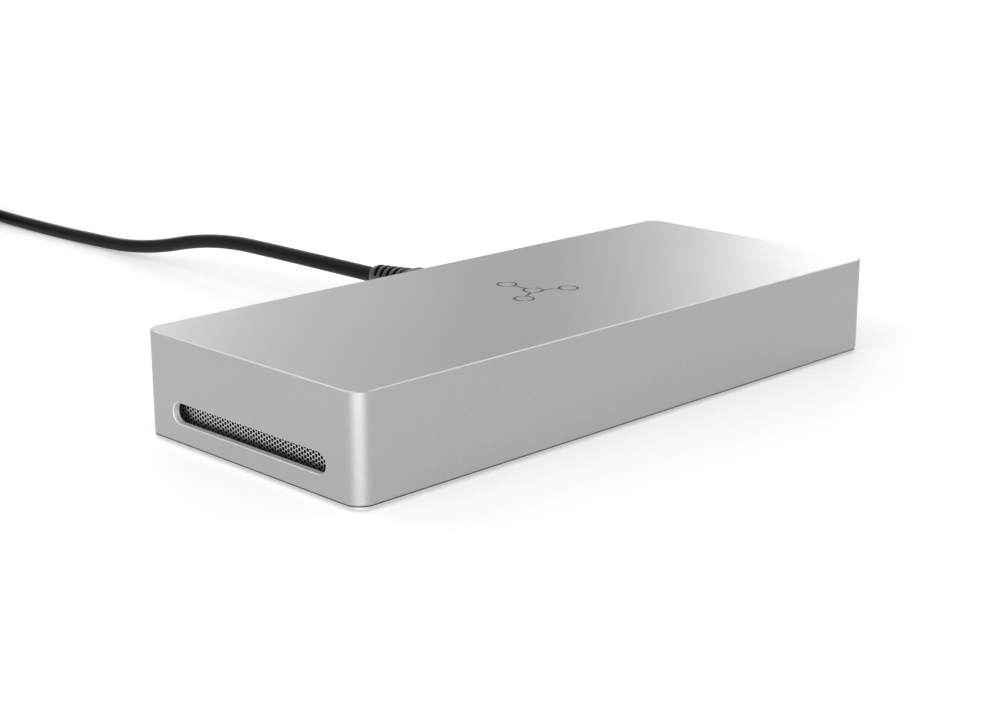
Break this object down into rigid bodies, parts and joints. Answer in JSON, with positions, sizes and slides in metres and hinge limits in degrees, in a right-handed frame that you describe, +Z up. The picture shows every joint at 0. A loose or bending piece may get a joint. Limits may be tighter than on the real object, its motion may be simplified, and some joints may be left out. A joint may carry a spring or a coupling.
{
  "type": "laptop docking station",
  "caption": "Slim aluminium docking station with vented ends, rear ports, a sprung power button and a coiled host cable.",
  "frame": {"origin": "under the middle of the housing, on the surface its feet stand on", "axes": "+X along the housing's length, +Y to the rear with the ports, +Z up"},
  "size_m": [0.1806, 0.3888, 0.026],
  "materials": {
    "anodised_aluminium": "bead-blasted and clear anodised",
    "cover_aluminium": "satin anodised",
    "foot_rubber": "matte",
    "screw_steel": "zinc plated",
    "mesh_metal": "fine satin",
    "black_plastic": "fine moulded grain",
    "circuit_board": "solder mask over glass laminate",
    "chip_package": "moulded epoxy",
    "thermal_gel": "soft silicone",
    "ferrite": "pressed ferrite",
    "capacitor_can": "drawn",
    "heat_aluminium": "extruded",
    "polyester_film": "thin film",
    "connector_steel": "tin plated, drawn",
    "contact_gold": "gold flash",
    "cable_jacket": "satin elastomer",
    "plug_overmould": "fine spark-eroded grain",
    "strap_rubber": "soft silicone strap"
  },
  "bodies": {
    "station": {"housing_shell": "anodised_aluminium", "bottom_cover": "cover_aluminium", "foot_strip_front": "foot_rubber", "foot_strip_rear": "foot_rubber", "cover_screws": "screw_steel", "board_screws": "screw_steel", "vent_mesh_left": "mesh_metal", "vent_mesh_right": "mesh_metal", "mesh_frame_left": "black_plastic", "mesh_frame_right": "black_plastic", "main_board": "circuit_board", "controller_chips": "chip_package", "thermal_pads": "thermal_gel", "power_inductors": "ferrite", "electrolytic_capacitors": "capacitor_can", "heat_spreader": "heat_aluminium", "insulating_sheet": "polyester_film", "port_bracket": "connector_steel", "lock_plate": "connector_steel", "ethernet_shield": "connector_steel", "ethernet_housing": "black_plastic", "ethernet_contacts": "contact_gold", "hdmi_shell_left": "connector_steel", "hdmi_shell_right": "connector_steel", "hdmi_tongue_left": "black_plastic", "hdmi_tongue_right": "black_plastic", "usb_c_shell_data": "connector_steel", "usb_c_shell_host": "connector_steel", "usb_c_tongue_data": "black_plastic", "usb_c_tongue_host": "black_plastic", "usb_a_shell_left": "connector_steel", "usb_a_shell_right": "connector_steel", "usb_a_tongues_left": "black_plastic", "usb_a_tongues_right": "black_plastic", "power_jack_body": "black_plastic", "power_jack_pin": "contact_gold", "button_switch": "black_plastic", "host_plug_body": "plug_overmould", "host_plug_shell": "connector_steel", "host_plug_boot": "plug_overmould", "host_cable": "cable_jacket", "host_cable_coil": "cable_jacket", "host_cable_tail": "cable_jacket", "coil_tie": "strap_rubber", "laptop_plug_body": "plug_overmould", "laptop_plug_shell": "connector_steel", "laptop_plug_boot": "plug_overmould"},
    "button": {"power_button": "anodised_aluminium"}
  },
  "joints": [
    {"name": "power_button_press", "type": "slide", "parent": "station", "child": "button", "axis": [0, -1, 0], "range_m": [0, 0.0006], "stiffness_N_per_m": 900, "springref_m": -0.0008}
  ]
}
